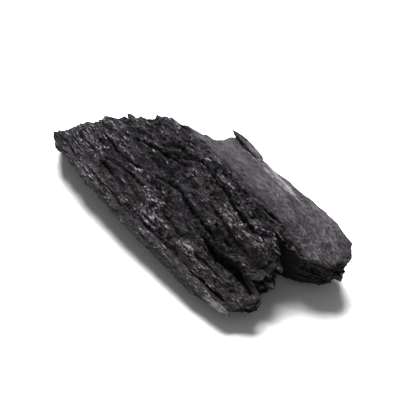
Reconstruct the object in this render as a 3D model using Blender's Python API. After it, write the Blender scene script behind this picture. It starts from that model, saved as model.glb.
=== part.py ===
"""A lump of hardwood charcoal: one split slab of wood, charred whole, lying on its flattest side.

The grain runs along X. Seen from above, the broad torn face slopes from a thin layered rim at -Y up to
a ridge, and a smoother split face falls from the ridge to a shoulder at +Y. The -X end is broken off at
a slant, and the +X end tapers into two lobes with a cleft between them, beside the end of the split
face. Splinters still hang on the edges. Metres, +Z up, with the origin under the middle of the lump, on
the surface that it lies on.
"""

import itertools
import math

import bmesh
import bpy
import numpy as np
from mathutils import Vector

MM = 0.001

# Driving dimensions
LENGTH = 162 * MM  # along the grain
HALF_WIDTH = 39 * MM  # across the grain, measured from the middle
HALF_HEIGHT = 21 * MM
EDGE_RADIUS = 3 * MM  # rounding of the block before it is torn
RELIEF_DEPTH = 8 * MM  # how deep the lines start along which the relief moves the surface
RIDGE_Y = 12 * MM  # where the torn face meets the split face
RIDGE_SOFTNESS = 2 * MM
SPLIT_FROM = 2 * MM  # how far past the ridge the torn wood begins to give way to the split face
SPLIT_BLEND = 5 * MM  # and the width over which it does
RIM_SHARE = 0.15  # share of the height that the rim takes up
RIM_UNDERCUT = 8.5 * MM  # how far the lump draws in under the rim
SHOULDER_UNDERCUT = 3 * MM
TORN_BULGE = 3 * MM  # how far the torn face swells out of its plane towards the +X end
END_SLANTS = (5 * MM, 4 * MM)  # how far the underside stops short of the top at each end
RIM_LIFT = 5 * MM  # height of the underside above its middle, under the rim, the shoulder and the lobes
SHOULDER_LIFT = 3 * MM
LOBE_LIFT = 3 * MM

# Heights of the three long edges at stations along the lump, counted from the -X end
STATIONS = np.array([0, 30, 60, 90, 115, 130, 142, 162]) * MM
RIM_Z = np.array([17, 16, 14, 12, 10, 8.5, 6.5, 5]) * MM
RIDGE_Z = np.array([39, 42, 43.5, 43.5, 41, 37, 31, 25]) * MM
SHOULDER_Z = np.array([29, 29, 29, 30, 29.5, 29, 28, 24]) * MM
RIM_Y = np.array([-33, -35.5, -35.5, -34.5, -34, -33, -32, -30]) * MM
SHOULDER_Y = np.array([36, 37, 38, 40, 42, 42.8, 43.2, 41.5]) * MM

# Where the two broken ends lie, counted from the -X end, at places across the lump
LEFT_END_Y = np.array([-39, -33, -22, -8, 4, 11, 15.5, 18.5, 21, 25, 31, 38]) * MM
LEFT_END_X = np.array([4, 0, 6, 17, 31, 42, 48, 53, 60, 65, 67, 66]) * MM
RIGHT_END_Y = np.array([
    -39, -37, -34, -31, -26, -21.6, -17, -14.8, -12.7, -10.5, -8.4, -4, 0, 4, 7.5, 9.9, 11.5, 14.5, 22,
    33, 38,
]) * MM
RIGHT_END_X = np.array([
    122, 131, 139, 144, 148, 150.5, 151.5, 149, 140, 142.5, 144.5, 145.5, 144.5, 143.5, 142, 137, 134.5, 150,
    160, 162, 156,
]) * MM

# The clefts: x and y of both ends, half width, depth, side bend of the middle
CLEFTS = np.array([
    [62, -8.5, 84, -6.8, 1.0, 2.4, 0.0],
    [76, -6.4, 112, -9.0, 1.0, 4.4, -1.8],
    [106, -14.0, 170, -8.6, 3.0, 9.5, 0.6],  # parts the two lobes
    [84, 7.6, 132, 5.0, 1.1, 4.6, -0.8],
    [58, 6.0, 88, 7.4, 0.9, 3.2, 0.6],
    [36, -4.0, 74, 2.8, 1.0, 3.2, 0.3],
    [20, -13.8, 52, -11.4, 1.1, 2.8, 0.3],
    [8, -20.2, 58, -23.6, 1.6, 2.4, 0.8],
    [42, -17.5, 66, -15.0, 1.2, 2.4, 0.3],
    [78, -18.6, 98, -19.4, 1.1, 2.4, 0.0],
    [96, -2.5, 132, -4.0, 1.2, 3.0, 0.8],
    [104, -21.5, 130, -20.0, 1.0, 1.8, 0.5],
    [118, 15.6, 132, 16.2, 0.8, 2.6, 0.0],
    [110, -28.4, 146, -24.6, 1.6, 4.0, 0.5],  # lifts the long splinter off the lower lobe
    [30, -34.0, 122, -32.0, 0.8, 2.0, -0.5],  # parts the thin outer layer from the rim
    [64, 37.0, 91, 35.4, 0.9, 2.4, 0.0],  # lifts the other long splinter off the shoulder
]) * MM
CLEFT_WANDER = 1.3 * MM
# The broad hollow at the end of the upper lobe, given like a cleft
HOLLOW = np.array([[106, -4.5, 166, -2.0, 6.5, 4.0, 0.0]]) * MM

# Relief: width across the grain, length along it, height
BROAD = (26 * MM, 60 * MM, 1.6 * MM)
CHUNKS = (6.5 * MM, 21 * MM, 2.6 * MM)
CHIPS = (3.2 * MM, 7 * MM, 2.4 * MM)
SPLIT_WAVES = (6 * MM, 70 * MM, 0.6 * MM)
UNDERSIDE_WAVES = (18 * MM, 34 * MM, 1.6 * MM)
SPLIT_SHARE = 0.12  # of the chunks and chips, on the split face
SIDE_SHARE = 0.45  # and on the sides and the underside
GRAIN_WANDER = 3.0 * MM
# Where the torn face is calmer: x, y, reach along the grain, reach across it
CALM = np.array([[8, -30, 34, 17], [128, -30, 26, 12]]) * MM
CALM_SHARE = 0.4

# The broken ends: growth rings stand round a centre below the lump, and each breaks at its own length
RING_CENTRE = (-10 * MM, -55 * MM)
RING = 4.4 * MM
RING_STEP = 2.8 * MM
RING_ARC = 9 * MM

GRID_CUTS = (140, 90, 30)  # columns of the block along X, Y and Z
TRIANGLES = 10300  # what the torn block is thinned to
RISE = 0.9 * MM  # how far the middle of the underside's relief stands over its worn low places
CLOSE_WITHIN = 0.05 * MM  # points left this near each other are made one

SPLINTER_CUTS = (5, 1, 1)
SMALL_SPLINTERS = 12
SMALLEST = np.array([9, 2.2, 1.8]) * MM  # length, width, thickness of a small splinter
LARGEST = np.array([15, 3.4, 2.6]) * MM
# The two long splinters: x and y from the -X end, height, length, width, thickness, turn, pitch, roll
LONG_SPLINTERS = (
    (77 * MM, 38.0 * MM, 30.0 * MM, 26 * MM, 3.8 * MM, 3.4 * MM, -3.0, 2.0, -20.0),
    (131 * MM, -29.0 * MM, 10.2 * MM, 27 * MM, 3.4 * MM, 2.8 * MM, 8.5, 4.0, 29.0),
)

COLOUR = (0.018, 0.017, 0.019, 1.0)


def slopes_of(seed):
    """256 unit vectors and a shuffled list of 256 numbers, the same for each run."""
    random = np.random.default_rng(seed)
    slopes = random.normal(size=(256, 3))
    return slopes / np.linalg.norm(slopes, axis=1)[:, None], random.permutation(256)


def noise(points, seed):
    """Gradient noise, about -1 to 1: cell corners have random slopes, and points blend the eight nearest."""
    slopes, shuffle = slopes_of(seed)
    cell = np.floor(points).astype(np.int64)
    inside = points - cell
    fade = inside**3 * (inside * (inside * 6 - 15) + 10)
    total = np.zeros(len(points))
    for corner in itertools.product((0, 1), repeat=3):
        i, j, k = (cell + corner).T & 255
        slope = slopes[shuffle[(shuffle[(shuffle[i] + j) & 255] + k) & 255]]
        share = np.prod(np.where(corner, fade, 1 - fade), axis=1)
        total += share * np.sum(slope * (inside - corner), axis=1)
    return total * 1.7


def smooth(value, low, high):
    """0 below low, 1 above high, and an S-curve between them."""
    share = np.clip((value - low) / (high - low), 0, 1)
    return share * share * (3 - 2 * share)


def mix(a, b, share):
    return a + (b - a) * share


def grain_space(points, width, length):
    """Points squeezed so that one unit is a relief's width across the grain and its length along it."""
    wander = GRAIN_WANDER * noise(points / [55 * MM, 30 * MM, 30 * MM], 3)
    return (points + wander[:, None] * [0, 1, 1]) / [length, width, width]


def bowls(points, seed):
    """Tilted bowls, one to a cell, that meet in crisp ridges. With the sign turned they make furrows."""
    random = np.random.default_rng(seed)
    shuffle = random.permutation(256)
    place = random.uniform(0, 1, (256, 3))
    lift = random.uniform(-0.35, 0.35, 256)
    tilt = random.uniform(-1.1, 1.1, (256, 3))
    cell = np.floor(points).astype(np.int64)
    best = np.full(len(points), 9.0)
    for step in itertools.product((-1, 0, 1), repeat=3):
        other = cell + step
        i, j, k = other.T & 255
        which = shuffle[(shuffle[(shuffle[i] + j) & 255] + k) & 255]
        away = points - other - place[which]
        plane = lift[which] + np.sum(tilt[which] * away, axis=1) + np.sum(away**2, axis=1)
        best = np.minimum(best, plane)
    return best - 0.2


def core_point(block, depth):
    """The nearest place to each point of the cube that lies this deep inside it, in metres."""
    half = np.array([LENGTH / 2, HALF_WIDTH, HALF_HEIGHT])
    return np.clip(block * half, depth - half, half - depth) / half


def rounded(block):
    """Points of a cube from -1 to 1, with its edges rounded off by the same real radius all round."""
    half = np.array([LENGTH / 2, HALF_WIDTH, HALF_HEIGHT])
    core = core_point(block, EDGE_RADIUS)
    outside = (block - core) * half
    share = np.abs(outside).max(axis=1) / np.linalg.norm(outside, axis=1)
    return core + (block - core) * share[:, None]


def end_steps(y, z, seed):
    """How far the growth rings stand out where an end broke, for places across the lump."""
    across, up = y - RING_CENTRE[0], z - RING_CENTRE[1]
    radius = np.hypot(across, up) + 0.9 * MM * noise(np.stack([y, z, 0 * y], axis=1) / (14 * MM), seed)
    ring = radius / RING
    arc = radius * np.arctan2(across, up)
    layer = np.floor(ring) + smooth(ring % 1, 0.55, 1)
    lengths = noise(np.stack([arc / RING_ARC, layer * 5.3, 0 * arc + seed], axis=1), seed)
    return RING_STEP * (lengths - 0.3 * smooth(np.abs(ring % 1 - 0.8), 0.2, 0))


def lump_form(block):
    """The smooth form: carries each point of the cube to its place between the ends, rim and shoulder."""
    u, v, w = block.T
    across = (v + 1) / 2
    nominal_y = v * HALF_WIDTH
    start = np.interp(nominal_y, LEFT_END_Y, LEFT_END_X) - END_SLANTS[0] * smooth(-w, -1, 1)
    end = np.interp(nominal_y, RIGHT_END_Y, RIGHT_END_X) - END_SLANTS[1] * smooth(-w, -0.6, 1)
    x = mix(start, end, (u + 1) / 2)

    rim_y, rim_z = np.interp(x, STATIONS, RIM_Y), np.interp(x, STATIONS, RIM_Z)
    ridge_z = np.interp(x, STATIONS, RIDGE_Z)
    shoulder_y, shoulder_z = np.interp(x, STATIONS, SHOULDER_Y), np.interp(x, STATIONS, SHOULDER_Z)
    on_torn = np.clip((nominal_y + HALF_WIDTH) / (RIDGE_Y + HALF_WIDTH), 0, 1)
    on_split = np.clip((nominal_y - RIDGE_Y) / (HALF_WIDTH - RIDGE_Y), 0, 1)
    y = mix(rim_y, RIDGE_Y, on_torn) + (shoulder_y - RIDGE_Y) * on_split

    torn = rim_z + (y - rim_y) * (ridge_z - rim_z) / (RIDGE_Y - rim_y)
    torn += TORN_BULGE * np.sin(math.pi * on_torn) * smooth(x, 70 * MM, 140 * MM)
    split = ridge_z + (y - RIDGE_Y) * (shoulder_z - ridge_z) / (shoulder_y - RIDGE_Y)
    top = (torn + split - np.sqrt((torn - split) ** 2 + RIDGE_SOFTNESS**2)) / 2

    under = RIM_LIFT * (1 - smooth(across, 0, 0.22)) + SHOULDER_LIFT * smooth(across, 0.86, 1)
    under += LOBE_LIFT * smooth(x, 128 * MM, 155 * MM) + RISE
    share = (w + 1) / 2
    z = mix(under, top, share)
    y += RIM_UNDERCUT * np.clip(1 - share / (1 - RIM_SHARE), 0, 1) * (1 - across) ** 5
    y -= SHOULDER_UNDERCUT * (1 - share) * across**6
    return np.stack([x, y, z], axis=1)


def cleft_depth(points, clefts):
    """Depth of the clefts: each follows a bent line in plan, steep on one side, and runs out at its ends."""
    depth = np.zeros(len(points))
    wander = CLEFT_WANDER * noise(points / [13 * MM, 30 * MM, 60 * MM], 5)
    uneven = 1 + 0.5 * noise(points / [9 * MM, 12 * MM, 60 * MM], 8)
    for x0, y0, x1, y1, half_width, deepest, bend in clefts:
        share = (points[:, 0] - x0) / (x1 - x0)
        inside = np.clip(share, 0, 1)
        line = mix(y0, y1, inside) + bend * np.sin(math.pi * inside) + wander
        swell = np.sqrt(np.clip(4 * share * (1 - share), 0, None))
        width = half_width * uneven * np.maximum(swell, 0.05)
        side = (points[:, 1] - line) / width
        profile = np.clip(np.where(side > 0, 1 - side / 0.7, 1 + side / 1.6), 0, 1)
        depth = np.maximum(depth, deepest * swell * profile)
    return depth


def calm_share(points):
    """How calm the torn face is at each point: 1 in the middle of a calm patch, 0 away from them."""
    share = np.zeros(len(points))
    for x, y, along, across in CALM:
        away = np.hypot((points[:, 0] - x) / along, (points[:, 1] - y) / across)
        share = np.maximum(share, 1 - smooth(away, 0.4, 1.2))
    return share


def relief(points, outward, block):
    """How far each point of the smooth form moves outward, in metres."""
    v, w = block[:, 1], rounded(block)[:, 2]
    upward = smooth(w, 0.82, 0.96)
    split_start = RIDGE_Y + SPLIT_FROM
    split = upward * smooth(v * HALF_WIDTH, split_start, split_start + SPLIT_BLEND)
    torn = upward - split
    underside = smooth(-outward[:, 2], 0.3, 0.8)
    end = smooth(np.abs(outward[:, 0]), 0.6, 0.95)
    roughness = (torn + SPLIT_SHARE * split + SIDE_SHARE * (1 - upward)) * (1 - 0.85 * end)
    roughness *= 1 - CALM_SHARE * calm_share(points) * upward

    chunks = -bowls(grain_space(points, *CHUNKS[:2]), 31)
    chips = bowls(grain_space(points, *CHIPS[:2]), 32)
    broad = noise(grain_space(points, *BROAD[:2]), 4)
    height = BROAD[2] * broad * (1 - 0.5 * split) * (1 - 0.5 * end)
    height += roughness * (CHUNKS[2] * chunks + CHIPS[2] * chips)
    depth = cleft_depth(points, CLEFTS) + cleft_depth(points, HOLLOW)
    height -= depth * upward
    height += SPLIT_WAVES[2] * split * noise(grain_space(points, *SPLIT_WAVES[:2]), 7)
    height += UNDERSIDE_WAVES[2] * underside * noise(grain_space(points, *UNDERSIDE_WAVES[:2]), 6)
    return height


def torn_points(block):
    """The cube's points carried to the torn surface: the smooth form, the relief, then the broken ends."""
    form = lump_form(rounded(block))
    outward = form - lump_form(core_point(block, RELIEF_DEPTH))
    outward /= np.linalg.norm(outward, axis=1)[:, None]
    points = form + outward * relief(form, outward, block)[:, None]
    u, nominal_y, nominal_z = (block * [1, HALF_WIDTH, HALF_HEIGHT]).T
    points[:, 0] -= end_steps(nominal_y, nominal_z, 11) * smooth(-u, 0.75, 1)
    points[:, 0] += end_steps(nominal_y, nominal_z, 21) * smooth(u, 0.75, 1)
    return points


def gridded_cube(cuts):
    """A cube from -1 to 1, cut into even columns along each axis."""
    grid = bmesh.new()
    bmesh.ops.create_cube(grid, size=2)
    for axis, count in enumerate(cuts):
        normal = Vector([float(axis == other) for other in range(3)])
        for place in np.linspace(-1, 1, count + 1)[1:-1]:
            everything = grid.verts[:] + grid.edges[:] + grid.faces[:]
            bmesh.ops.bisect_plane(grid, geom=everything, plane_co=normal * place, plane_no=normal)
    return grid


def read_vectors(items, name):
    """A vector attribute of a mesh's points as rows of three numbers."""
    values = np.empty(len(items) * 3)
    items.foreach_get(name, values)
    return values.reshape(-1, 3)


def torn_block():
    """The lump's body, torn and then thinned to its number of triangles."""
    mesh = bpy.data.meshes.new("torn_block")
    grid = gridded_cube(GRID_CUTS)
    grid.to_mesh(mesh)
    grid.free()
    points = torn_points(read_vectors(mesh.vertices, "co"))
    mesh.vertices.foreach_set("co", points.ravel())
    mesh.update()

    body = bpy.data.objects.new("torn_block", mesh)
    bpy.context.scene.collection.objects.link(body)
    thin = body.modifiers.new("thin", "DECIMATE")
    thin.ratio = TRIANGLES / (2 * len(mesh.polygons))
    thin.use_collapse_triangulate = True
    return body


def small_splinters():
    """Places for the small splinters: chance spots on the broken ends, each standing out along the grain."""
    random = np.random.default_rng(78)
    for side in (-1, 1):
        count = SMALL_SPLINTERS // 2
        across = random.uniform((-0.9, 0.1), (0.9, 0.95), (count, 2))
        block = np.column_stack([np.full(count, float(side)), across])
        sizes = random.uniform(SMALLEST, LARGEST, (count, 3))
        angles = random.uniform((-5, -5, -40), (5, 5, 40), (count, 3))
        spots = torn_points(block)
        spots[:, 0] -= side * 0.2 * sizes[:, 0]
        spots[:, 2] -= 0.5 * MM
        yield from np.column_stack([spots, sizes, angles])


def splinter(number, place):
    """A sliver of wood: a slim bar along the grain, with a long taper at one end and a blunt one at the other."""
    x, y, z, length, width, thickness, turn, pitch, roll = place
    random = np.random.default_rng(number)
    shape = gridded_cube(SPLINTER_CUTS)
    mesh = bpy.data.meshes.new("splinter")
    shape.to_mesh(mesh)
    shape.free()
    points = read_vectors(mesh.vertices, "co")
    power = np.where(points[:, 0] < 0, 2.2, 6.0)
    taper = 0.12 + 0.88 * (1 - np.abs(points[:, 0]) ** power)
    points[:, 1:] *= taper[:, None]
    points += random.uniform(-0.12, 0.12, points.shape) * [0.6, 1, 1]
    points *= np.array([length, width, thickness]) / 2
    mesh.vertices.foreach_set("co", points.ravel())
    piece = bpy.data.objects.new("splinter", mesh)
    piece.location = (x, y, z)
    piece.rotation_euler = (math.radians(roll), math.radians(pitch), math.radians(turn))
    return piece


def ground_block():
    """A block whose top is the surface that the lump lies on, larger than the lump all round."""
    shape = bmesh.new()
    bmesh.ops.create_cube(shape, size=2 * LENGTH)
    bmesh.ops.translate(shape, vec=(LENGTH / 2, 0, -LENGTH), verts=shape.verts)
    mesh = bpy.data.meshes.new("ground")
    shape.to_mesh(mesh)
    shape.free()
    ground = bpy.data.objects.new("ground", mesh)
    bpy.context.scene.collection.objects.link(ground)
    ground.hide_render = True
    ground.display_type = "WIRE"
    return ground


def applied(piece):
    """A new mesh with the object's modifiers and place worked in."""
    bpy.context.view_layer.update()
    graph = bpy.context.evaluated_depsgraph_get()
    mesh = bpy.data.meshes.new_from_object(piece.evaluated_get(graph))
    mesh.transform(piece.matrix_world)
    return mesh


def keep_largest_body(mesh):
    """Leaves only the largest closed body of a mesh, without the crumbs and blisters that tearing leaves."""
    shape = bmesh.new()
    shape.from_mesh(mesh)
    loose = set(shape.faces)
    bodies = []
    while loose:
        front = [loose.pop()]
        body = set(front)
        while front:
            pairs = [edge.link_faces for edge in front.pop().edges if len(edge.link_faces) == 2]
            fresh = {face for pair in pairs for face in pair} & loose
            loose -= fresh
            body |= fresh
            front.extend(fresh)
        bodies.append(body)
    bodies.sort(key=len)
    crumbs = [face for body in bodies[:-1] for face in body]
    bmesh.ops.delete(shape, geom=crumbs, context="FACES")
    shape.to_mesh(mesh)
    shape.free()


def charcoal():
    """Dull black, with the faint sheen of charred grain."""
    material = bpy.data.materials.new("charcoal")
    material.use_nodes = True
    shader = material.node_tree.nodes["Principled BSDF"]
    shader.inputs["Base Color"].default_value = COLOUR
    shader.inputs["Roughness"].default_value = 0.62
    shader.inputs["Metallic"].default_value = 0.0
    return material


def charcoal_lump():
    """The body with its splinters joined on, centred over the origin and resting at z = 0."""
    body = torn_block()
    slivers = bpy.data.collections.new("splinters")
    bpy.context.scene.collection.children.link(slivers)
    for number, place in enumerate([*LONG_SPLINTERS, *small_splinters()]):
        slivers.objects.link(splinter(number, place))
    join = body.modifiers.new("join", "BOOLEAN")
    join.operation = "UNION"
    join.operand_type = "COLLECTION"
    join.collection = slivers
    join.solver = "EXACT"
    ground = ground_block()
    wear = body.modifiers.new("wear", "BOOLEAN")
    wear.operation = "DIFFERENCE"
    wear.object = ground
    wear.solver = "EXACT"
    close = body.modifiers.new("close", "WELD")
    close.merge_threshold = CLOSE_WITHIN
    mesh = applied(body)
    keep_largest_body(mesh)
    mesh.name = "charcoal_lump"
    for helper in [body, ground, *slivers.objects]:
        bpy.data.objects.remove(helper)
    bpy.data.collections.remove(slivers)

    points = read_vectors(mesh.vertices, "co")
    middle = (points.min(axis=0) + points.max(axis=0)) / 2
    points[:, :2] -= middle[:2]
    mesh.vertices.foreach_set("co", points.ravel())
    mesh.update()
    mesh.materials.clear()
    mesh.materials.append(charcoal())
    mesh.shade_smooth()
    mesh.set_sharp_from_angle(angle=math.radians(30))
    return bpy.data.objects.new("charcoal_lump", mesh)


for leftover in list(bpy.data.objects):
    bpy.data.objects.remove(leftover)
parts = bpy.data.collections.new("charcoal_lump")
bpy.context.scene.collection.children.link(parts)
parts.objects.link(charcoal_lump())
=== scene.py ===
# %% [markdown]
# # A lump of hardwood charcoal
# The lump is a slab that was split off a log and then charred right through. It keeps the build of the wood:
# the grain runs along X, one broad face is torn and full of clefts, the face beside it split off cleanly and
# is smoother and greyer, and both ends are broken. We load the measured solid first, because it fixes the
# size and the place of everything, and then build a much finer skin in exactly the same place.

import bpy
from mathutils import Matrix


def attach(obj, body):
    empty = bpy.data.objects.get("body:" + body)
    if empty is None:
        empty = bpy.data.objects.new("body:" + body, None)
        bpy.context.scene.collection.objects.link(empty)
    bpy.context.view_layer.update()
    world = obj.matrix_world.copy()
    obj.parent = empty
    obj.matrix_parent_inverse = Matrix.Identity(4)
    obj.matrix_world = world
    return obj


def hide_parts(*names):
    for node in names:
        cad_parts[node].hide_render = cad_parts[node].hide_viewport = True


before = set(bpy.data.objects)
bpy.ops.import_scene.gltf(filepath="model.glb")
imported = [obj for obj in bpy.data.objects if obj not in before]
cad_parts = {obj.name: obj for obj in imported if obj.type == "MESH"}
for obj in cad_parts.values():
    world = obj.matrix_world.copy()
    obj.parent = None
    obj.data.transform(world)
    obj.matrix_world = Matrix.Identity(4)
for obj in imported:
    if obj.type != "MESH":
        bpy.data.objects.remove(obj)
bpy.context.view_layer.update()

# %% Tools and units
import itertools
import math

import bpy
import numpy as np
from mathutils import Vector

MM = 0.001

# %% [markdown]
# ## Sizes
# These are the sizes that the solid was made with: three long edges (the rim, the ridge and the shoulder)
# given at stations along the lump, the outline of the two broken ends, and the line of every cleft. Using the
# same numbers is what keeps the fine skin on the solid.

# %% Sizes of the lump
LENGTH, HALF_WIDTH, HALF_HEIGHT = 162 * MM, 39 * MM, 21 * MM
EDGE_RADIUS, RELIEF_DEPTH = 3 * MM, 8 * MM
RIDGE_Y, RIDGE_SOFTNESS = 12 * MM, 2 * MM
SPLIT_FROM, SPLIT_BLEND = 2 * MM, 5 * MM
RIM_SHARE, RIM_UNDERCUT, SHOULDER_UNDERCUT = 0.15, 8.5 * MM, 3 * MM
TORN_BULGE, END_SLANTS = 3 * MM, (5 * MM, 4 * MM)
RIM_LIFT, SHOULDER_LIFT, LOBE_LIFT, RISE = 5 * MM, 3 * MM, 3 * MM, 0.9 * MM
MIDDLE = np.array([80.483, 4.421, 0]) * MM  # the middle of the lump's box, in the axes of these sizes

STATIONS = np.array([0, 30, 60, 90, 115, 130, 142, 162]) * MM
RIM_Z = np.array([17, 16, 14, 12, 10, 8.5, 6.5, 5]) * MM
RIDGE_Z = np.array([39, 42, 43.5, 43.5, 41, 37, 31, 25]) * MM
SHOULDER_Z = np.array([29, 29, 29, 30, 29.5, 29, 28, 24]) * MM
RIM_Y = np.array([-33, -35.5, -35.5, -34.5, -34, -33, -32, -30]) * MM
SHOULDER_Y = np.array([36, 37, 38, 40, 42, 42.8, 43.2, 41.5]) * MM
print("ridge", round(RIDGE_Z.max() / MM, 1), "mm high, shoulder", round(SHOULDER_Z.max() / MM, 1), "mm")

LEFT_END_Y = np.array([-39, -33, -22, -8, 4, 11, 15.5, 18.5, 21, 25, 31, 38]) * MM
LEFT_END_X = np.array([4, 0, 6, 17, 31, 42, 48, 53, 60, 65, 67, 66]) * MM
RIGHT_END_Y = np.array([
    -39, -37, -34, -31, -26, -21.6, -17, -14.8, -12.7, -10.5, -8.4, -4, 0, 4, 7.5, 9.9, 11.5, 14.5, 22,
    33, 38,
]) * MM
RIGHT_END_X = np.array([
    122, 131, 139, 144, 148, 150.5, 151.5, 149, 140, 142.5, 144.5, 145.5, 144.5, 143.5, 142, 137, 134.5, 150,
    160, 162, 156,
]) * MM

# %% The clefts: x and y of both ends, half width, depth, side bend
CLEFTS = np.array([
    [62, -8.5, 84, -6.8, 1.0, 2.4, 0.0],
    [76, -6.4, 112, -9.0, 1.0, 4.4, -1.8],
    [106, -14.0, 170, -8.6, 3.0, 9.5, 0.6],  # parts the two lobes
    [84, 7.6, 132, 5.0, 1.1, 4.6, -0.8],
    [58, 6.0, 88, 7.4, 0.9, 3.2, 0.6],
    [36, -4.0, 74, 2.8, 1.0, 3.2, 0.3],
    [20, -13.8, 52, -11.4, 1.1, 2.8, 0.3],
    [8, -20.2, 58, -23.6, 1.6, 2.4, 0.8],
    [42, -17.5, 66, -15.0, 1.2, 2.4, 0.3],
    [78, -18.6, 98, -19.4, 1.1, 2.4, 0.0],
    [96, -2.5, 132, -4.0, 1.2, 3.0, 0.8],
    [104, -21.5, 130, -20.0, 1.0, 1.8, 0.5],
    [118, 15.6, 132, 16.2, 0.8, 2.6, 0.0],
    [110, -28.4, 146, -24.6, 1.6, 4.0, 0.5],  # lifts the long splinter off the lower lobe
    [30, -34.0, 122, -32.0, 0.8, 2.0, -0.5],  # parts the thin outer layer from the rim
    [64, 37.0, 91, 35.4, 0.9, 2.4, 0.0],  # lifts the other long splinter off the shoulder
]) * MM
CLEFT_WANDER, CLEFT_UNEVEN = 1.3 * MM, 0.5
WANDER_CELL, UNEVEN_CELL = np.array([13, 30, 60]) * MM, np.array([9, 12, 60]) * MM
CLEFT_STEEP, CLEFT_SLANT = 0.7, 1.6  # reach of the two sides of a cleft, in half widths
# The broad hollow at the end of the upper lobe, given like a cleft
HOLLOW = np.array([[106, -4.5, 166, -2.0, 6.5, 4.0, 0.0]]) * MM
print(len(CLEFTS), "clefts, the deepest", round(CLEFTS[:, 5].max() / MM, 1), "mm")

# %% [markdown]
# ## Noise that knows about grain
# Torn wood could be sculpted by hand, but its roughness follows rules: everything is drawn out along the
# grain. So we use two sorts of noise on points that are squeezed along X. Gradient noise gives soft swells.
# Tilted bowls, one to a cell, give the crisp ridges and furrows of fibres that parted. Both are whole-array
# sums over the neighbouring cells.

# %% Small helpers and gradient noise
def smooth(value, low, high):
    """0 below low, 1 above high, and an S-curve between them."""
    share = np.clip((value - low) / (high - low), 0, 1)
    return share * share * (3 - 2 * share)


def mix(a, b, share):
    """a where share is 0, b where it is 1."""
    return a + (b - a) * share


def noise(points, seed):
    """Gradient noise, about -1 to 1: a cell's corners have random slopes, and each point blends all eight."""
    random = np.random.default_rng(seed)
    slopes = random.normal(size=(256, 3))
    slopes /= np.linalg.norm(slopes, axis=1)[:, None]
    shuffle = random.permutation(256)
    cell = np.floor(points).astype(np.int64)
    inside = points - cell
    fade = inside**3 * (inside * (inside * 6 - 15) + 10)
    total = np.zeros(len(points))
    for corner in itertools.product((0, 1), repeat=3):
        i, j, k = (cell + corner).T & 255
        slope = slopes[shuffle[(shuffle[(shuffle[i] + j) & 255] + k) & 255]]
        share = np.prod(np.where(corner, fade, 1 - fade), axis=1)
        total += share * np.sum(slope * (inside - corner), axis=1)
    return total * 1.7


SPOTS = np.arange(12).reshape(4, 3) * 0.37
print("noise at four spots", np.round(noise(SPOTS, 3), 2))

# %% Bowls, and the space that the grain makes
GRAIN_WANDER, GRAIN_CELL = 3.0 * MM, np.array([55, 30, 30]) * MM


def grain_space(points, width, length):
    """Points squeezed so that one unit is a relief's width across the grain and its length along it."""
    wander = GRAIN_WANDER * noise(points / GRAIN_CELL, 3)
    return (points + wander[:, None] * [0, 1, 1]) / [length, width, width]


def bowls(points, seed, roundness=1.0):
    """The lowest of the tilted bowls round each point: lift, plus a slope, plus the squared distance to its
    middle times the roundness, so that little roundness leaves flat facets."""
    random = np.random.default_rng(seed)
    shuffle = random.permutation(256)
    place = random.uniform(0, 1, (256, 3))
    lift = random.uniform(-0.35, 0.35, 256)
    tilt = random.uniform(-1.1, 1.1, (256, 3))
    cell = np.floor(points).astype(np.int64)
    best = np.full(len(points), 9.0)
    for step in itertools.product((-1, 0, 1), repeat=3):
        other = cell + step
        i, j, k = other.T & 255
        which = shuffle[(shuffle[(shuffle[i] + j) & 255] + k) & 255]
        away = points - other - place[which]
        plane = lift[which] + np.sum(tilt[which] * away, axis=1) + roundness * np.sum(away**2, axis=1)
        best = np.minimum(best, plane)
    return best - 0.2


print("bowls at four spots", np.round(bowls(SPOTS, 31), 2))

# %% [markdown]
# ## The smooth form
# The lump starts as a cube from -1 to 1. One function carries any point of that cube to its place: the two
# ends give x, the rim, the ridge and the shoulder give y and z. Because it is a function, the same shape can
# be sampled as finely as we like, and a splinter can ask where the surface is.

# %% The cube's points carried to the form
HALF = np.array([LENGTH / 2, HALF_WIDTH, HALF_HEIGHT])


def core_point(block, depth):
    """The nearest place to each point of the cube that lies this deep inside it."""
    return np.clip(block * HALF, depth - HALF, HALF - depth) / HALF


def rounded(block):
    """The cube's points with its edges rounded off: each is drawn in until it is the radius from the core."""
    core = core_point(block, EDGE_RADIUS)
    outside = (block - core) * HALF
    share = np.abs(outside).max(axis=1) / np.linalg.norm(outside, axis=1)
    return core + (block - core) * share[:, None]


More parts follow.
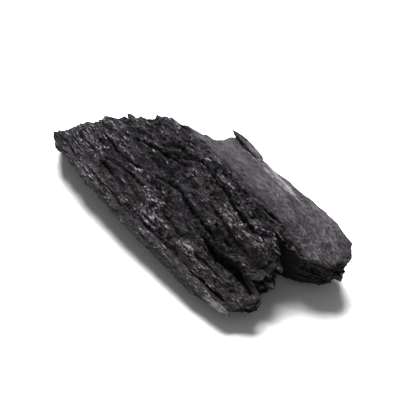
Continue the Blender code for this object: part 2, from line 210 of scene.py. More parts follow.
def lump_form(block):
    """x lies between the two ends, y between rim, ridge and shoulder, z between underside and roof."""
    u, v, w = block.T
    across = (v + 1) / 2
    nominal_y = v * HALF_WIDTH
    start = np.interp(nominal_y, LEFT_END_Y, LEFT_END_X) - END_SLANTS[0] * smooth(-w, -1, 1)
    end = np.interp(nominal_y, RIGHT_END_Y, RIGHT_END_X) - END_SLANTS[1] * smooth(-w, -0.6, 1)
    x = mix(start, end, (u + 1) / 2)

    rim_y, rim_z = np.interp(x, STATIONS, RIM_Y), np.interp(x, STATIONS, RIM_Z)
    ridge_z = np.interp(x, STATIONS, RIDGE_Z)
    shoulder_y, shoulder_z = np.interp(x, STATIONS, SHOULDER_Y), np.interp(x, STATIONS, SHOULDER_Z)
    on_torn = np.clip((nominal_y + HALF_WIDTH) / (RIDGE_Y + HALF_WIDTH), 0, 1)
    on_split = np.clip((nominal_y - RIDGE_Y) / (HALF_WIDTH - RIDGE_Y), 0, 1)
    y = mix(rim_y, RIDGE_Y, on_torn) + (shoulder_y - RIDGE_Y) * on_split

    torn = rim_z + (y - rim_y) * (ridge_z - rim_z) / (RIDGE_Y - rim_y)
    torn += TORN_BULGE * np.sin(math.pi * on_torn) * smooth(x, 70 * MM, 140 * MM)
    split = ridge_z + (y - RIDGE_Y) * (shoulder_z - ridge_z) / (shoulder_y - RIDGE_Y)
    roof = (torn + split - np.sqrt((torn - split) ** 2 + RIDGE_SOFTNESS**2)) / 2

    under = RIM_LIFT * (1 - smooth(across, 0, 0.22)) + SHOULDER_LIFT * smooth(across, 0.86, 1)
    under += LOBE_LIFT * smooth(x, 128 * MM, 155 * MM) + RISE
    share = (w + 1) / 2
    z = mix(under, roof, share)
    y += RIM_UNDERCUT * np.clip(1 - share / (1 - RIM_SHARE), 0, 1) * (1 - across) ** 5
    y -= SHOULDER_UNDERCUT * (1 - share) * across**6
    return np.stack([x, y, z], axis=1)


roof_middle = lump_form(np.array([[0.0, 0.0, 1.0]]))[0]
print("roof's middle at", np.round(roof_middle / MM, 1), "mm")

# %% [markdown]
# ## The torn surface
# The relief has three layers. The first, shared with the solid, is coarse: chunks of fibre bundles, chips,
# and the clefts. The second is only seen up close: finer chips, crumbs, fissures, single fibres, and four
# short cracks that run aslant from cleft to cleft. The third is the steps of the ends, because each growth
# ring breaks at its own length.

# %% Clefts
def cleft_depth(points, clefts):
    """Clefts follow bent lines in plan, are steep on one side, slant on the other and run out at the ends."""
    depth = np.zeros(len(points))
    wander = CLEFT_WANDER * noise(points / WANDER_CELL, 5)
    uneven = 1 + CLEFT_UNEVEN * noise(points / UNEVEN_CELL, 8)
    for x0, y0, x1, y1, half_width, deepest, bend in clefts:
        share = (points[:, 0] - x0) / (x1 - x0)
        inside = np.clip(share, 0, 1)
        line = mix(y0, y1, inside) + bend * np.sin(math.pi * inside) + wander
        swell = np.sqrt(np.clip(4 * share * (1 - share), 0, None))
        width = half_width * uneven * np.maximum(swell, 0.05)
        side = (points[:, 1] - line) / width
        profile = np.clip(np.where(side > 0, 1 - side / CLEFT_STEEP, 1 + side / CLEFT_SLANT), 0, 1)
        depth = np.maximum(depth, deepest * swell * profile)
    return depth


# %% [markdown]
# The torn face isn't the same all over, so some of it is given as patches. The relief is lower in the calm
# patches, on the solid too. The others change the skin alone: soft ones have a quieter fine relief and fewer
# flecks, pale ones are paler from wear and get a painted highlight and painted glints, and the dark ones are
# darker as painted shade, in broad hollows by the clefts and along the rim.

# %% Patches: x and y of the middle, reach along the grain and across it
CALM = np.array([[8, -30, 34, 17], [128, -30, 26, 12]]) * MM
SOFT = np.array([[137, -19, 20, 7.5], [98, -29.5, 16, 4], [30, -9, 30, 13], *CALM / MM]) * MM
WORN_AND_HIGHLIT = np.array([
    [79, -23.5, 15, 4], [110, 1.5, 15, 3], [95, 9.5, 8, 3], [47, -12.5, 18, 3], [22, -20.5, 12, 2.5],
    [104, -20, 5, 4],
    # The last patch is the silver streak of the split face: partly wear, partly a painted sheen.
    [105, 36.5, 17, 3.0],  # the silver streak of the split face
]) * MM
# Painted shade: these patches are darker where shade falls, in broad hollows by the clefts and along the rim.
PAINTED_SHADE_PATCHES = np.array([
    [50, -21.5, 12, 3.5], [141, -3, 11, 6], [60, 1.5, 14, 2.5], [88, -3, 10, 4], [120, -35, 36, 4.5],
]) * MM
print(len(CALM), "calm,", len(SOFT), "soft,", len(WORN_AND_HIGHLIT), "worn and", len(PAINTED_SHADE_PATCHES), "sooty patches")

# %% Coarse relief, as the solid has it: width across the grain, length along it, height
BROAD = (26 * MM, 60 * MM, 1.6 * MM)
CHUNKS = (6.5 * MM, 21 * MM, 2.6 * MM)
CHIPS = (3.2 * MM, 7 * MM, 2.4 * MM)
SPLIT_WAVES = (6 * MM, 70 * MM, 0.6 * MM)
UNDERSIDE_WAVES = (18 * MM, 34 * MM, 1.6 * MM)
SPLIT_SHARE, SIDE_SHARE = 0.12, 0.45  # how rough the split face and the sides are, where torn wood has 1
END_CALM, CALM_SHARE = 0.85, 0.4  # how much of the roughness goes on the ends and in the calm patches


def patch_share(points, patches):
    """How far each point is inside a patch: 1 in the middle of one and 0 away from them all. Each patch has
    its x and y, its reach along the grain and its reach across it."""
    share = np.zeros(len(points))
    for x, y, along, across in patches:
        away = np.hypot((points[:, 0] - x) / along, (points[:, 1] - y) / across)
        share = np.maximum(share, 1 - smooth(away, 0.4, 1.2))
    return share


def coarse_relief(points, outward, block):
    """Swells, plus chunks and chips where it is torn, less clefts. Also the share of each sort of face."""
    v, w = block[:, 1], rounded(block)[:, 2]
    upward = smooth(w, 0.82, 0.96)
    split_start = RIDGE_Y + SPLIT_FROM
    split = upward * smooth(v * HALF_WIDTH, split_start, split_start + SPLIT_BLEND)
    torn = upward - split
    underside = smooth(-outward[:, 2], 0.3, 0.8)
    end = smooth(np.abs(outward[:, 0]), 0.6, 0.95)
    roughness = (torn + SPLIT_SHARE * split + SIDE_SHARE * (1 - upward)) * (1 - END_CALM * end)
    roughness *= 1 - CALM_SHARE * patch_share(points, CALM) * upward

    chunks = -bowls(grain_space(points, *CHUNKS[:2]), 31)
    chips = bowls(grain_space(points, *CHIPS[:2]), 32)
    broad = noise(grain_space(points, *BROAD[:2]), 4)
    cleft = (cleft_depth(points, CLEFTS) + cleft_depth(points, HOLLOW)) * upward
    height = roughness * (CHUNKS[2] * chunks + CHIPS[2] * chips) - cleft
    height += SPLIT_WAVES[2] * split * noise(grain_space(points, *SPLIT_WAVES[:2]), 7)
    height += UNDERSIDE_WAVES[2] * underside * noise(grain_space(points, *UNDERSIDE_WAVES[:2]), 6)
    swell = BROAD[2] * broad * (1 - 0.5 * split) * (1 - 0.5 * end)
    shares = {"split": split, "torn": torn, "end": end, "side": 1 - upward, "roughness": roughness}
    shares["pale"] = patch_share(points, WORN_AND_HIGHLIT) * upward * (1 - end)
    shares["painted_shade"] = patch_share(points, PAINTED_SHADE_PATCHES)
    shares["calm"] = patch_share(points, SOFT) * upward
    return height, swell, shares


# %% Steps of the broken ends
RING_CENTRE = (-10 * MM, -55 * MM)
RING, RING_STEP, RING_ARC = 4.4 * MM, 2.8 * MM, 9 * MM
RING_WANDER, RING_CELL = 0.9 * MM, 14 * MM
LEFT_SEED, RIGHT_SEED = 11, 21


def end_steps(y, z, seed):
    """Distance to the ring centre picks the growth layer, noise along the layer how far it stands out."""
    across, up = y - RING_CENTRE[0], z - RING_CENTRE[1]
    radius = np.hypot(across, up) + RING_WANDER * noise(np.stack([y, z, 0 * y], axis=1) / RING_CELL, seed)
    ring = radius / RING
    arc = radius * np.arctan2(across, up)
    layer = np.floor(ring) + smooth(ring % 1, 0.55, 1)
    lengths = noise(np.stack([arc / RING_ARC, layer * 5.3, 0 * arc + seed], axis=1), seed)
    return RING_STEP * (lengths - 0.3 * smooth(np.abs(ring % 1 - 0.8), 0.2, 0))


# %% Fine relief, for the skin only: width, length and height as above
FINE_CHIPS = (2.0 * MM, 4.4 * MM, 0.95 * MM)
CRUMBS = (1.0 * MM, 1.5 * MM, 0.8 * MM)
FIBRES = (0.8 * MM, 11 * MM, 0.25 * MM)
FISSURES = (2.6 * MM, 34 * MM, 1.1 * MM)
FISSURE_WIDTH = 0.07
FISSURE_PATCHES, ROUGH_PATCHES = (9 * MM, 26 * MM), (8 * MM, 16 * MM)
SKIN_SHARE = 0.75
# Cracks given like the clefts, which run aslant and join clefts to each other
CROSS_CRACKS = np.array([
    [56, 0.0, 81, 7.9, 1.0, 1.8, 0.8],
    [85, 10.4, 94, 4.4, 1.4, 2.0, 0.0],
    [80, -5.6, 92, 2.0, 2.0, 1.0, 1.4],
    [40, -14.3, 60, -9.0, 1.1, 1.6, 0.4],
]) * MM
RAGGED = (1.5 * MM, 2.6 * MM, 0.8 * MM)


def ragged(points):
    """Points shifted by a small noise for each axis, which makes the edges of the coarse relief ragged."""
    place = points / [RAGGED[1], RAGGED[0], RAGGED[0]]
    return points + RAGGED[2] * np.stack([2 * noise(place, 51), noise(place, 52), noise(place, 53)], axis=1)


def fine_relief(points, shares):
    """Fine chips, crumbs and single fibres, less the cross cracks and the fissures. Fissures lie where a long
    noise passes through nought."""
    chips = bowls(grain_space(points, *FINE_CHIPS[:2]), 41, 0.6)
    crumbs = bowls(grain_space(points, *CRUMBS[:2]), 45, 0.6)
    fibres = noise(grain_space(points, *FIBRES[:2]), 42)
    web = np.abs(noise(grain_space(points, *FISSURES[:2]), 43))
    patch = smooth(noise(grain_space(points, *FISSURE_PATCHES), 44), -0.1, 0.25)
    fissure = smooth(web, FISSURE_WIDTH, 0) * patch
    patchy = 0.45 + 0.8 * smooth(noise(grain_space(points, *ROUGH_PATCHES), 46), -0.35, 0.35)
    rough = np.maximum(shares["roughness"], SKIN_SHARE * (1 - shares["split"]))
    rough = rough * patchy * (1 - 0.5 * shares["calm"])
    height = (FINE_CHIPS[2] * chips + CRUMBS[2] * crumbs) * (0.1 + rough)
    height = height + FIBRES[2] * fibres * (0.5 + 0.7 * rough)
    height -= FISSURES[2] * fissure * (0.2 + 0.8 * rough) + cleft_depth(points, CROSS_CRACKS) * shares["torn"]
    return height, fissure


# %% The whole surface
def torn_surface(block, fine=True):
    """The form, moved out along the lines from its core by the relief, and along X by the end steps."""
    form = lump_form(rounded(block))
    outward = form - lump_form(core_point(block, RELIEF_DEPTH))
    outward /= np.linalg.norm(outward, axis=1)[:, None]
    height, swell, shares = coarse_relief(ragged(form) if fine else form, outward, block)
    shares["crack"], extra = np.zeros(len(block)), np.zeros(len(block))
    if fine:
        extra, shares["crack"] = fine_relief(form, shares)
    height = height + extra
    # The fine relief is kept for the finish, which paints by it: paler and glinting on its crests, partly
    # wear and partly painted highlight, and darker in its hollows as painted shade.
    shares["worn"] = extra
    points = form + outward * (height + swell)[:, None]
    u, nominal_y, nominal_z = (block * [1, HALF_WIDTH, HALF_HEIGHT]).T
    points[:, 0] -= end_steps(nominal_y, nominal_z, LEFT_SEED) * smooth(-u, 0.75, 1)
    points[:, 0] += end_steps(nominal_y, nominal_z, RIGHT_SEED) * smooth(u, 0.75, 1)
    points[:, 2] = np.maximum(points[:, 2], 0)
    shares["height"] = height
    return points - MIDDLE, shares


# %% [markdown]
# ## A closed skin
# A closed skin needs a closed net to start from. We take the shell of a lattice: six grids whose shared edge
# points are made one by giving each lattice point one number. The net is finer than it needs to be, and is
# then thinned where the surface is flat, so that the faces go to the chips and cracks.

# %% The shell of a lattice as a net
def lattice_shell(counts):
    """Points of a lattice's six sides, over the cube from -1 to 1, and squares between them, facing out."""
    squares = []
    for axis, side in itertools.product(range(3), (0, 1)):
        first, second = (axis + 1) % 3, (axis + 2) % 3
        i, j = np.meshgrid(np.arange(counts[first]), np.arange(counts[second]), indexing="ij")
        ring = [(0, 0), (1, 0), (1, 1), (0, 1)]
        corners = np.zeros((i.size, 4, 3), np.int64)
        for corner, (di, dj) in enumerate(ring if side else ring[::-1]):
            corners[:, corner, axis] = side * counts[axis]
            corners[:, corner, first] = (i + di).ravel()
            corners[:, corner, second] = (j + dj).ravel()
        squares.append(corners)
    squares = np.concatenate(squares)
    steps = np.array([(counts[1] + 1) * (counts[2] + 1), counts[2] + 1, 1])
    numbers = squares @ steps
    unique, first_at, index = np.unique(numbers, return_index=True, return_inverse=True)
    lattice = squares.reshape(-1, 3)[first_at]
    return lattice * 2 / np.array(counts) - 1, index.reshape(-1, 4)


# %% Into a mesh
def mesh_of(name, points, squares, layers=None):
    """A mesh from arrays of points and four-cornered faces, with a number layer for each named array."""
    mesh = bpy.data.meshes.new(name)
    mesh.vertices.add(len(points))
    mesh.vertices.foreach_set("co", points.astype(np.float32).ravel())
    mesh.loops.add(squares.size)
    mesh.loops.foreach_set("vertex_index", squares.astype(np.int32).ravel())
    mesh.polygons.add(len(squares))
    mesh.polygons.foreach_set("loop_start", np.arange(0, squares.size, 4, dtype=np.int32))
    mesh.update(calc_edges=True)
    for layer, values in (layers or {}).items():
        mesh.attributes.new(layer, "FLOAT", "POINT").data.foreach_set("value", values.astype(np.float32))
    return mesh


def placed(name, mesh, *nodes):
    """The mesh as an object of the scene that rides on the lump's body, with the given parts of the solid
    hidden.
    """
    piece = bpy.data.objects.new(name, mesh)
    bpy.context.scene.collection.objects.link(piece)
    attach(piece, "root")
    if nodes:
        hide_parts(*nodes)
    return piece


# %% The skin of the lump
NET = (270, 220, 44)
SKIN_TRIANGLES = 188_000
SHARP_ANGLE = math.radians(42)
HEIGHT_SPAN, FINE_RELIEF_SPAN = 6 * MM, 2 * MM  # relief that a number layer's 0 to 1 stands for


def lump_skin():
    """The net carried to the torn surface and thinned to its triangles, with its shares as number layers."""
    block, squares = lattice_shell(NET)
    points, shares = torn_surface(block)
    kept = {name: shares[name] for name in ("split", "end", "side", "pale", "painted_shade", "calm", "crack")}
    kept["height"] = np.clip(0.5 + shares["height"] / HEIGHT_SPAN, 0, 1)
    kept["worn"] = np.clip(0.5 + shares["worn"] / FINE_RELIEF_SPAN, 0, 1)
    dense = mesh_of("dense", points, squares, kept)
    piece = bpy.data.objects.new("dense", dense)
    bpy.context.scene.collection.objects.link(piece)
    thin = piece.modifiers.new("thin", "DECIMATE")
    thin.ratio = SKIN_TRIANGLES / (2 * len(squares))
    graph = bpy.context.evaluated_depsgraph_get()
    skin = bpy.data.meshes.new_from_object(piece.evaluated_get(graph))
    bpy.data.objects.remove(piece)
    skin.name = "charred_wood"
    skin.shade_smooth()
    skin.set_sharp_from_angle(angle=SHARP_ANGLE)
    return skin


skin = lump_skin()
lump = placed("charred_wood", skin, "charcoal_lump")
triangles = sum(len(face.vertices) - 2 for face in skin.polygons)
print("skin", len(skin.vertices), "points", triangles, "triangles")

# %% [markdown]
# ## Splinters
# Wood tears into slivers that stay hanging on one end. A sliver is the same lattice shell made slim: it lies
# along the grain, is thickest in the middle, runs out to both ends, and is turned a little. Two long ones
# show from afar, a dozen stand out of the broken ends, and nearly two hundred hair-fine ones catch the light
# on the torn face.

# %% Slim bars, turned and placed
def turned(points, roll, pitch, turn):
    """Points of each sliver turned about X by roll, then Y by pitch, then Z by turn, in degrees."""
    for axis, angle in ((0, roll), (1, pitch), (2, turn)):
        first, second = (axis + 1) % 3, (axis + 2) % 3
        cosine, sine = np.cos(np.radians(angle))[:, None], np.sin(np.radians(angle))[:, None]
        a, b = points[..., first].copy(), points[..., second].copy()
        points[..., first] = cosine * a - sine * b
        points[..., second] = sine * a + cosine * b
    return points


def slivers(name, counts, places, seed, jitter, **layers):
    """Each row of places is x, y, z, length, width, thickness, turn, pitch and roll. Width and thickness
    shrink to both ends as one less a power of the distance from the middle, 2.2 towards one end and 6 towards
    the other, and every point is moved a little by chance. The layers that the finish reads grow to their
    value from a third of it."""
    random = np.random.default_rng(seed)
    block, squares = lattice_shell(counts)
    power = np.where(block[:, :1] < 0, 2.2, 6.0)
    taper = 0.12 + 0.88 * (1 - np.abs(block[:, :1]) ** power)
    shape = np.concatenate([block[:, :1], block[:, 1:] * taper], axis=1)
    shape = shape + random.uniform(-jitter, jitter, (len(places), *shape.shape)) * [0.3, 1, 1]
    local = shape * places[:, None, 3:6] / 2
    points = turned(local, *places[:, 8:5:-1].T) + places[:, None, :3]
    offsets = np.arange(len(places))[:, None, None] * len(block)
    points = points.reshape(-1, 3)
    growth = np.tile(1 / 3 + smooth(block[:, 0], -0.6, 0.3) * 2 / 3, len(places))
    for layer, value in layers.items():
        layers[layer] = np.repeat(np.broadcast_to(value, len(places)), len(block)) * growth
    return mesh_of(name, points, (squares + offsets).reshape(-1, 4), layers)


# %% Long splinters, and the small ones of the ends
# x, y, z, length, width and thickness in mm, then turn, pitch and roll in degrees
LONG_SPLINTERS = np.array([
    [77, 38.0, 30.0, 26, 3.8, 3.4, -3.0, 2.0, -20.0],
    [131, -29.0, 10.2, 27, 3.4, 2.8, 8.5, 4.0, 29.0],
])
LONG_SPLINTERS[:, :6] *= MM
SMALL_SPLINTERS = 12


def end_splinters(seed):
    """Chance places on the broken ends: each sliver lies along the grain and stands out a little."""
    random = np.random.default_rng(seed)
    rows = []
    for side in (-1, 1):
        count = SMALL_SPLINTERS // 2
        across = random.uniform((-0.9, 0.1), (0.9, 0.95), (count, 2))
        block = np.column_stack([np.full(count, float(side)), across])
        sizes = random.uniform((9, 2.2, 1.8), (15, 3.4, 2.6), (count, 3)) * MM
        angles = random.uniform((-5, -5, -40), (5, 5, 40), (count, 3))
        spots = torn_surface(block, fine=False)[0]
        spots -= np.column_stack([side * 0.2 * sizes[:, 0], np.zeros(count), np.full(count, 0.5 * MM)])
        rows.append(np.column_stack([spots, sizes, angles]))
    return np.concatenate(rows)


long_places = LONG_SPLINTERS.copy()
long_places[:, :3] -= MIDDLE
long_mesh = slivers(
    "long_splinters", (40, 6, 5), long_places, seed=61, jitter=0.09,
    split=(1, 0.7), height=(0.6, 0.8), worn=(0.56, 0.8),
)
splinters = placed("long_splinters", long_mesh)
stub_mesh = slivers(
    "end_splinters", (16, 3, 3), end_splinters(seed=78), seed=62, jitter=0.1, side=1, height=0.5, worn=0.5,
)
stubs = placed("end_splinters", stub_mesh)
print("long splinters", len(long_places), "small ones", SMALL_SPLINTERS)

# %% Hair-fine splinters on the torn face
HAIRS = 180
TRIES = 6 * HAIRS
TORN_SLOPE = 31  # degrees


def hair_places(seed):
    """Chance places on the torn face, kept where it has crests, with a size and a lie for each."""
    random = np.random.default_rng(seed)
    across = random.uniform((-0.97, -0.93), (0.97, 0.32), (TRIES, 2))
    block = np.column_stack([across, np.ones(TRIES)])
    points, shares = torn_surface(block)
    crest = (shares["torn"] > 0.8) & (shares["height"] > -0.4 * MM)
    spots = points[crest][:HAIRS]
    count = len(spots)
    sizes = random.uniform((2.0, 0.25, 0.2), (6.0, 0.7, 0.45), (count, 3)) * MM
    turn = random.normal(0, 5, count)
    pitch = random.normal(0, 6, count)
    angles = np.column_stack([turn, pitch, np.full(count, TORN_SLOPE)])
    return np.column_stack([spots + [0, -0.05 * MM, 0.1 * MM], sizes, angles])


places = hair_places(seed=63)
hair_mesh = slivers("hair_splinters", (5, 1, 1), places, seed=64, jitter=0.12, height=0.6, worn=0.7)
hairs = placed("hair_splinters", hair_mesh)
print("hair-fine splinters", len(places))

# %% [markdown]
# ## Writing a finish as sums
# A finish is a web of small nodes, and such a web is hard to read as a drawing. We wrap a node's socket in a
# class that knows + - * /, so that a mask can be written as the sum that it is, and each sum adds its own
# Math nodes.

# %% Sockets that can be added and multiplied
class Share:
    """A number that changes over the surface: one socket, with arithmetic that adds Math nodes."""

    def __init__(self, finish, socket):
        self.finish, self.socket = finish, socket

    def math(self, operation, *values):
        """One Math node over these values."""
        return self.finish.node("Math", {"operation": operation}, list(values))

    def __add__(self, other):
        return self.math("ADD", self, other)

    def __sub__(self, other):
        return self.math("SUBTRACT", self, other)

    def __rsub__(self, other):
        return self.math("SUBTRACT", other, self)

    def __mul__(self, other):
        return self.math("MULTIPLY", self, other)

    def __truediv__(self, other):
        return self.math("DIVIDE", self, other)

    def __rtruediv__(self, other):
        return self.math("DIVIDE", other, self)

    def __pow__(self, other):
        return self.math("POWER", self, other)

    def between(self, low, high):
        """0 at low and 1 at high, smoothly, and flat beyond them. Low may be the larger."""
        return self.finish.node("MapRange", {"interpolation_type": "SMOOTHSTEP"}, {
            "Value": self, "From Min": low, "From Max": high, "To Min": 0.0, "To Max": 1.0,
        })

    __radd__, __rmul__ = __add__, __mul__


# %% Nodes made in one line
class Finish:
    """A material whose nodes are made by kind, settings and the values or links of their sockets."""

    def __init__(self, name):
        self.material = bpy.data.materials.new(name)
        self.material.use_nodes = True
        self.tree = self.material.node_tree
        self.surface = self.tree.nodes["Principled BSDF"]

    def fill(self, node, values):
        """Sets or links sockets, given by place in a list or by name."""
        named = enumerate(values) if isinstance(values, list) else values.items()
        for key, value in named:
            if isinstance(value, Share):
                self.tree.links.new(value.socket, node.inputs[key])
            else:
                node.inputs[key].default_value = value

    def node(self, kind, settings=None, values=None, output=0):
        """A new node of this kind: settings first, then sockets. Gives back one output as a share."""
        made = self.tree.nodes.new("ShaderNode" + kind)
        for setting, value in (settings or {}).items():
            setattr(made, setting, value)
        self.fill(made, values or {})
        return Share(self, made.outputs[output])

    def layer(self, name):
        """A number layer of the mesh."""
        return self.node("Attribute", {"attribute_name": name}, output="Fac")

    def grain(self, length, width, shift=0.0):
        """Object coordinates in which one unit is this length along the grain and this width across it."""
        place = self.node("TexCoord", output="Object")
        per_metre = (1 / length, 1 / width, 1 / width)
        scaled = self.node("VectorMath", {"operation": "MULTIPLY"}, [place, per_metre])
        return self.node("VectorMath", {"operation": "ADD"}, [scaled, (shift, shift, shift)])

    def noise(self, length, width, detail=2.0, shift=0.0, distortion=0.0):
        """Noise of about 0 to 1 with grains of this length and width. Detail counts its finer layers, and the
        shift takes it from another place."""
        return self.node("TexNoise", None, {
            "Vector": self.grain(length, width, shift),
            "Scale": 1.0,
            "Detail": detail,
            "Distortion": distortion,
        })

    def blend(self, share, a, b):
        """Colour a where share is 0 and colour b where it is 1."""
        return self.node("Mix", {"data_type": "RGBA"}, {"Factor": share, 6: a, 7: b}, output=2)


# %% [markdown]
# ## Charcoal
# Charcoal is nearly pure carbon, so it is darker than almost anything, yet it isn't one flat black. Where it
# split cleanly the fibres lie side by side and shine grey like silk, and that sheen is partly painted in as a
# paler grey. Where it tore, the hollows, cracks and sides are darkened as painted shade, the crests are
# paler, partly from wear and partly as a painted highlight, and here and there a cell wall breaks so cleanly
# that it glints, which is painted as pale flecks. The black leans to blue towards the -X end, and to brown
# towards the other end and the rim.

# %% The charcoal finish
BLUE_BLACK, BROWN_BLACK = (0.206, 0.192, 0.250, 1), (0.214, 0.190, 0.182, 1)
# Painted sheen: the split face's grey is partly its own colour and partly raised to stand in for the silky
# sheen it catches.
SPLIT_GREY_AND_SHEEN, SPLIT_DARK = (0.122, 0.110, 0.126, 1), (0.052, 0.046, 0.054, 1)
# The streak's silver: partly wear, partly a painted sheen on the split face's edge.
SILVER_WEAR_AND_SHEEN = (0.24, 0.23, 0.25, 1)
# The darkest colour is soot and also takes all painted shade; the glint colour is a painted highlight.
SOOT_AND_SHADE, PAINTED_GLINT = (0.003, 0.0025, 0.0027, 1), (0.38, 0.36, 0.40, 1)
RING_WIDTH = 2.2 * MM


def growth_rings(finish):
    """One wave to a growth ring: distance to the log's middle, wandering a little, over the ring's width."""
    centre = (0.0, RING_CENTRE[0] - MIDDLE[1], RING_CENTRE[1])
    place = finish.node("TexCoord", output="Object")
    across = finish.node("VectorMath", {"operation": "SUBTRACT"}, [place, centre])
    flat = finish.node("VectorMath", {"operation": "MULTIPLY"}, [across, (0.0, 1.0, 1.0)])
    radius = finish.node("VectorMath", {"operation": "LENGTH"}, [flat], output="Value")
    wander = finish.noise(60 * MM, 14 * MM, 1.0, shift=3.0) * (2.5 * MM)
    waves = (radius + wander) / RING_WIDTH
    return waves.math("FRACT", waves)


def charcoal():
    """Black that leans to blue or to brown by its place and by noise. Strands and specks are paler; crests
    and the pale patches are paler from wear and a painted highlight. Pores are darker, and hollows, cracks,
    sides and the dark patches are darker as painted shade. Small flecks get a painted glint, and the split
    face is grey with its sheen partly painted in, and one silver streak of wear and painted sheen."""
    finish = Finish("charcoal")
    split, end, side, calm, crack = (finish.layer(name) for name in ("split", "end", "side", "calm", "crack"))
    worn_pale, painted_shade, height, worn = (finish.layer(name) for name in ("pale", "painted_shade", "height", "worn"))

    place = finish.node("TexCoord", output="Object")
    toward_rim = finish.node("SeparateXYZ", None, [place], output="Y") / (-80 * MM)
    toward_end = finish.node("SeparateXYZ", None, [place], output="X") / (110 * MM)
    lean = finish.noise(26 * MM, 12 * MM, 1.0, shift=4.0) * 2
    lean = lean + finish.noise(5 * MM, 2.5 * MM, 2.0, shift=31.0) * 1.8
    tint = finish.blend((lean + toward_rim + toward_end).between(1.4, 2.7), BLUE_BLACK, BROWN_BLACK)
    mottle = finish.noise(9 * MM, 3.0 * MM, 3.0, shift=15.0).between(0.32, 0.68)
    tint = finish.blend(split, tint, finish.blend(mottle, SPLIT_DARK, SPLIT_GREY_AND_SHEEN))

    fibre = finish.noise(6 * MM, 0.5 * MM, 3.0, shift=1.0)
    strand = finish.noise(20 * MM, 1.7 * MM, 2.0, shift=2.0)
    speckle = finish.noise(1.6 * MM, 0.9 * MM, 3.0, shift=7.0)
    pore = finish.noise(3.6 * MM, 0.5 * MM, 1.0, shift=9.0).between(0.58, 0.68)
    grit = finish.noise(2.5 * MM, 1.05 * MM, 1.5, shift=21.0, distortion=0.6)
    pit = finish.noise(2.7 * MM, 1.2 * MM, 1.5, shift=23.0, distortion=0.6).between(0.5, 0.66)
    # Crest and hollow come from the relief's height: crests are painted paler, partly wear and partly painted
    # highlight, and hollows darker as painted shade.
    crest = height.between(0.45, 0.8)
    hollow = height.between(0.5, 0.15)
    ring = growth_rings(finish)
    ring_line = ring.between(0.55, 0.95) * end

    pale = (fibre.between(0.4, 0.7) * 0.4 + strand.between(0.4, 0.66) * 0.4) * (1 + calm * 1.5)
    pale = pale + speckle.between(0.44, 0.64) * 0.8
    clump = finish.noise(8 * MM, 4 * MM, 2.0, shift=27.0).between(0.43, 0.64)
    # Painted highlight: sparkle makes pale flecks in clumps, standing in for light that small facets catch.
    sparkle = grit.between(0.4, 0.7) * (1.5 + clump * 1.7) * (1 - split * 0.8) * (1 - calm * 0.5)
    sparkle = sparkle * (1 - side * 0.45)
    # Painted highlight: the pale patches are paler and glint, partly for wear and partly for light they
    # catch.
    streaky_wear_and_highlight = worn_pale * (0.3 + strand.between(0.4, 0.6))
    # Painted sheen: the streak on the split face is blended towards silver, partly for its wear.
    silver_streak_wear_and_sheen = streaky_wear_and_highlight * split * (0.1 + speckle.between(0.42, 0.62) * 0.5 + pore * 0.2)
    tint = finish.blend(silver_streak_wear_and_sheen, tint, SILVER_WEAR_AND_SHEEN)
    # Painted glint: the base colour is blended towards the pale glint colour on fine crests and in the pale
    # patches; the roughness drops there too.
    glint_where = finish.noise(15 * MM, 7 * MM, 2.0, shift=5.0).between(0.55, 0.72) + streaky_wear_and_highlight
    glint_where = glint_where * worn.between(0.4, 0.65)
    glint_spot = finish.noise(3.2 * MM, 0.8 * MM, 2.0, shift=12.0).between(0.54, 0.66)
    glint = glint_where * glint_spot * (1 - split + streaky_wear_and_highlight * split) * height.between(0.3, 0.6)
    patch = finish.noise(24 * MM, 11 * MM, 2.0, shift=6.0).between(0.3, 0.7)
    # The brightness sum: painted shade in hollows, fine hollows, cracks and on the sides, painted sheen on
    # the split face, and painted highlight together with wear on the crests.
    bright = pale * (0.8 - split * 0.1) + sparkle + split * 0.9 + crest * 0.3 + patch * 0.4
    bright = bright + worn.between(0.5, 0.75) * 0.7 + streaky_wear_and_highlight * (1.4 + split * 0.4) - painted_shade * 0.9 - side * 0.7
    bright = bright - hollow * 0.7 - worn.between(0.5, 0.25) * 0.9 - ring_line * 0.8
    bright = bright - pore * 0.5 - pit * (1.9 - split * 1.4)
    bright = bright.between(-0.1, 3.4) ** 1.4 * (1 - crack * 0.85)

    dark = finish.blend(bright, SOOT_AND_SHADE, tint)
    base = finish.blend(glint, dark, PAINTED_GLINT)
    roughness = 0.72 - fibre * 0.2 - patch * 0.1 - glint * 0.3 + crack * 0.2 + hollow * 0.1

    bump = fibre * (0.5 + split * 0.3) + speckle * (0.8 - split * 0.3)
    bump = bump + grit * (1.6 - split * 1.2) + strand * 0.5
    bump = bump - pore * 0.5 - pit * (1.0 - split * 0.7)
    fine = finish.node("Bump", None, {"Strength": 0.9, "Distance": 0.5 * MM, "Height": bump})
    finish.fill(finish.surface, {
        "Base Color": base, "Roughness": roughness, "Normal": fine, "IOR": 1.5, "Specular IOR Level": 0.25,
        "Specular Tint": (0.98, 0.9, 1.0, 1),
    })
    return finish.material


coal = charcoal()
for piece in (lump, splinters, stubs, hairs):
    piece.data.materials.clear()
    piece.data.materials.append(coal)
print("finish", coal.name, "of", len(coal.node_tree.nodes), "nodes")

# %% [markdown]
# ## The studio
# The lump lies on a wide pale floor under soft light. A large lamp high behind it shines full on the split
# face and falls aslant on the torn one, so that chips and clefts show by their small shadows, and a weak
# white sky fills these. The camera looks down on the lump through a long lens from far off, which leaves
# almost no perspective.

# %% Floor
FLOOR_SIDE = 8.0


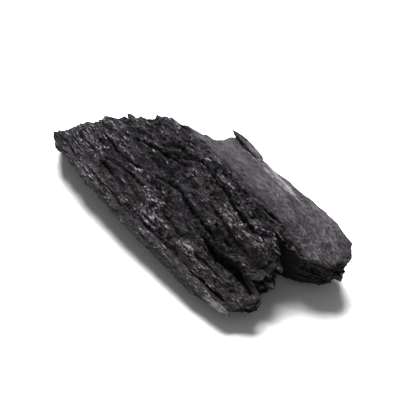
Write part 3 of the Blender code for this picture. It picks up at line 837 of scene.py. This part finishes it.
def floor_sheet():
    """One large square at the height that the lump rests on."""
    corners = np.array([[-1, -1, 0], [1, -1, 0], [1, 1, 0], [-1, 1, 0]]) * FLOOR_SIDE / 2
    return bpy.data.objects.new("floor", mesh_of("floor", corners, np.array([[0, 1, 2, 3]])))


floor = floor_sheet()
bpy.context.scene.collection.objects.link(floor)
paper = Finish("floor")
paper.fill(paper.surface, {"Base Color": (0.86, 0.86, 0.86, 1), "Roughness": 0.9})
floor.data.materials.append(paper.material)
print("floor", FLOOR_SIDE, "m wide")

# %% Light
def lamp(name, direction, distance, size, power):
    """A square soft lamp in this direction from the lump, turned to face it."""
    light = bpy.data.lights.new(name, "AREA")
    light.size, light.energy = size, power
    piece = bpy.data.objects.new(name, light)
    away = Vector(direction).normalized()
    piece.location = away * distance
    piece.rotation_euler = away.to_track_quat("Z", "Y").to_euler()
    bpy.context.scene.collection.objects.link(piece)


lamp("key", direction=(-0.45, 0.3, 0.82), distance=1.1, size=0.6, power=42)
world = bpy.data.worlds.new("studio")
world.use_nodes = True
world.node_tree.nodes["Background"].inputs["Color"].default_value = (1.0, 1.0, 1.0, 1)
world.node_tree.nodes["Background"].inputs["Strength"].default_value = 0.25
bpy.context.scene.world = world
bpy.context.scene.view_settings.view_transform = "Standard"
print("lights", [light.name for light in bpy.data.lights], "and the sky")

# %% Camera
AZIMUTH, ELEVATION, DISTANCE, LENS = math.radians(52), math.radians(50), 2.0, 355.6
AIM = Vector((0.0, 0.0, 0.016))

camera = bpy.data.objects.new("camera", bpy.data.cameras.new("camera"))
bpy.context.scene.collection.objects.link(camera)
bpy.context.scene.camera = camera
camera.data.lens = LENS
camera.data.clip_start, camera.data.clip_end = 0.01, 20
back = Vector((
    math.sin(AZIMUTH) * math.cos(ELEVATION), -math.cos(AZIMUTH) * math.cos(ELEVATION), math.sin(ELEVATION),
))
camera.location = AIM + back * DISTANCE
camera.rotation_euler = back.to_track_quat("Z", "Y").to_euler()
print("camera at", [round(value, 3) for value in camera.location], "with a lens of", LENS, "mm")
